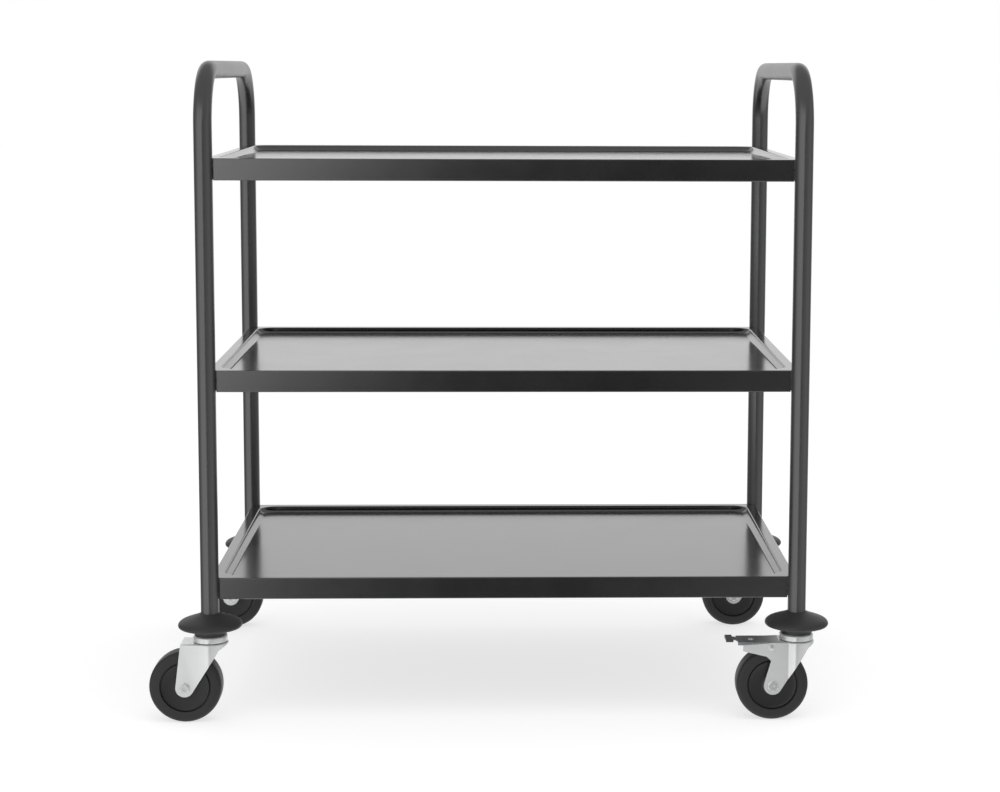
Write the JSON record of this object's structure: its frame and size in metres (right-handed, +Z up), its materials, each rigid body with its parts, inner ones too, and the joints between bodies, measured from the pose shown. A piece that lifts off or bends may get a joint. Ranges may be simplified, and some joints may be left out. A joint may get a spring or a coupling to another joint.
{
  "type": "serving trolley",
  "caption": "Wheeled serving trolley with flat pressed trays between two bent-tube ends, rubber corner bumpers and swivel casters, braked at one end.",
  "frame": {"origin": "on the floor, at the middle of the trolley's whole outline in plan with all the casters trailing to the left", "axes": "+X along the trolley to the end with the braked casters, +Y from the front to the back, +Z up"},
  "size_m": [0.94, 0.59, 0.908],
  "materials": {
    "powder_coat": "black satin powder coat on steel",
    "zinc_steel": "bright zinc-plated pressed steel",
    "fastener_steel": "zinc-plated steel bolts and nuts",
    "ball_steel": "hardened and polished steel balls",
    "bumper_rubber": "matt black moulded rubber",
    "tyre_rubber": "black solid rubber tread",
    "wheel_plastic": "black moulded plastic wheel body",
    "bush_plastic": "natural nylon bearing bush",
    "plug_plastic": "black nylon plug with a threaded bore",
    "pedal_plastic": "dark grey moulded plastic"
  },
  "bodies": {
    "trolley_frame": {"left_end_frame": "powder_coat", "right_end_frame": "powder_coat", "bottom_tray": "powder_coat", "middle_tray": "powder_coat", "top_tray": "powder_coat", "tray_bolts": "fastener_steel", "tray_spacer_nuts": "fastener_steel", "bumpers": "bumper_rubber", "stem_plugs": "plug_plastic", "caster_stems": "fastener_steel", "swivel_caps": "zinc_steel", "swivel_ball_rings": "ball_steel"},
    "caster_front_left": {"caster_fork_front_left": "zinc_steel", "axle_bolt_front_left": "fastener_steel", "axle_nut_front_left": "fastener_steel"},
    "wheel_front_left": {"wheel_hub_front_left": "wheel_plastic", "wheel_bush_front_left": "bush_plastic", "tyre_front_left": "tyre_rubber"},
    "caster_front_right": {"caster_fork_front_right": "zinc_steel", "axle_bolt_front_right": "fastener_steel", "axle_nut_front_right": "fastener_steel", "brake_pivot_pin_front_right": "fastener_steel"},
    "wheel_front_right": {"wheel_hub_front_right": "wheel_plastic", "wheel_bush_front_right": "bush_plastic", "tyre_front_right": "tyre_rubber"},
    "caster_rear_left": {"caster_fork_rear_left": "zinc_steel", "axle_bolt_rear_left": "fastener_steel", "axle_nut_rear_left": "fastener_steel"},
    "wheel_rear_left": {"wheel_hub_rear_left": "wheel_plastic", "wheel_bush_rear_left": "bush_plastic", "tyre_rear_left": "tyre_rubber"},
    "caster_rear_right": {"caster_fork_rear_right": "zinc_steel", "axle_bolt_rear_right": "fastener_steel", "axle_nut_rear_right": "fastener_steel", "brake_pivot_pin_rear_right": "fastener_steel"},
    "wheel_rear_right": {"wheel_hub_rear_right": "wheel_plastic", "wheel_bush_rear_right": "bush_plastic", "tyre_rear_right": "tyre_rubber"},
    "brake_front_right": {"brake_lever_front_right": "zinc_steel", "brake_pedal_front_right": "pedal_plastic", "brake_shoe_front_right": "zinc_steel"},
    "brake_rear_right": {"brake_lever_rear_right": "zinc_steel", "brake_pedal_rear_right": "pedal_plastic", "brake_shoe_rear_right": "zinc_steel"}
  },
  "joints": [
    {"name": "brake_pedal_front_right", "type": "hinge", "parent": "caster_front_right", "child": "brake_front_right", "pos_m": [0.389, -0.251, 0.1045], "axis": [0, -1, 0], "range_deg": [0, 9]},
    {"name": "brake_pedal_rear_right", "type": "hinge", "parent": "caster_rear_right", "child": "brake_rear_right", "pos_m": [0.389, 0.251, 0.1045], "axis": [0, -1, 0], "range_deg": [0, 9]},
    {"name": "caster_swivel_front_left", "type": "hinge", "parent": "trolley_frame", "child": "caster_front_left", "pos_m": [-0.386, -0.251, 0.1103], "axis": [0, 0, 1], "continuous": true},
    {"name": "caster_swivel_front_right", "type": "hinge", "parent": "trolley_frame", "child": "caster_front_right", "pos_m": [0.426, -0.251, 0.1103], "axis": [0, 0, 1], "continuous": true},
    {"name": "caster_swivel_rear_left", "type": "hinge", "parent": "trolley_frame", "child": "caster_rear_left", "pos_m": [-0.386, 0.251, 0.1103], "axis": [0, 0, 1], "continuous": true},
    {"name": "caster_swivel_rear_right", "type": "hinge", "parent": "trolley_frame", "child": "caster_rear_right", "pos_m": [0.426, 0.251, 0.1103], "axis": [0, 0, 1], "continuous": true},
    {"name": "wheel_spin_front_left", "type": "hinge", "parent": "caster_front_left", "child": "wheel_front_left", "pos_m": [-0.42, -0.251, 0.05], "axis": [0, 1, 0], "continuous": true},
    {"name": "wheel_spin_front_right", "type": "hinge", "parent": "caster_front_right", "child": "wheel_front_right", "pos_m": [0.392, -0.251, 0.05], "axis": [0, 1, 0], "continuous": true},
    {"name": "wheel_spin_rear_left", "type": "hinge", "parent": "caster_rear_left", "child": "wheel_rear_left", "pos_m": [-0.42, 0.251, 0.05], "axis": [0, 1, 0], "continuous": true},
    {"name": "wheel_spin_rear_right", "type": "hinge", "parent": "caster_rear_right", "child": "wheel_rear_right", "pos_m": [0.392, 0.251, 0.05], "axis": [0, 1, 0], "continuous": true}
  ]
}
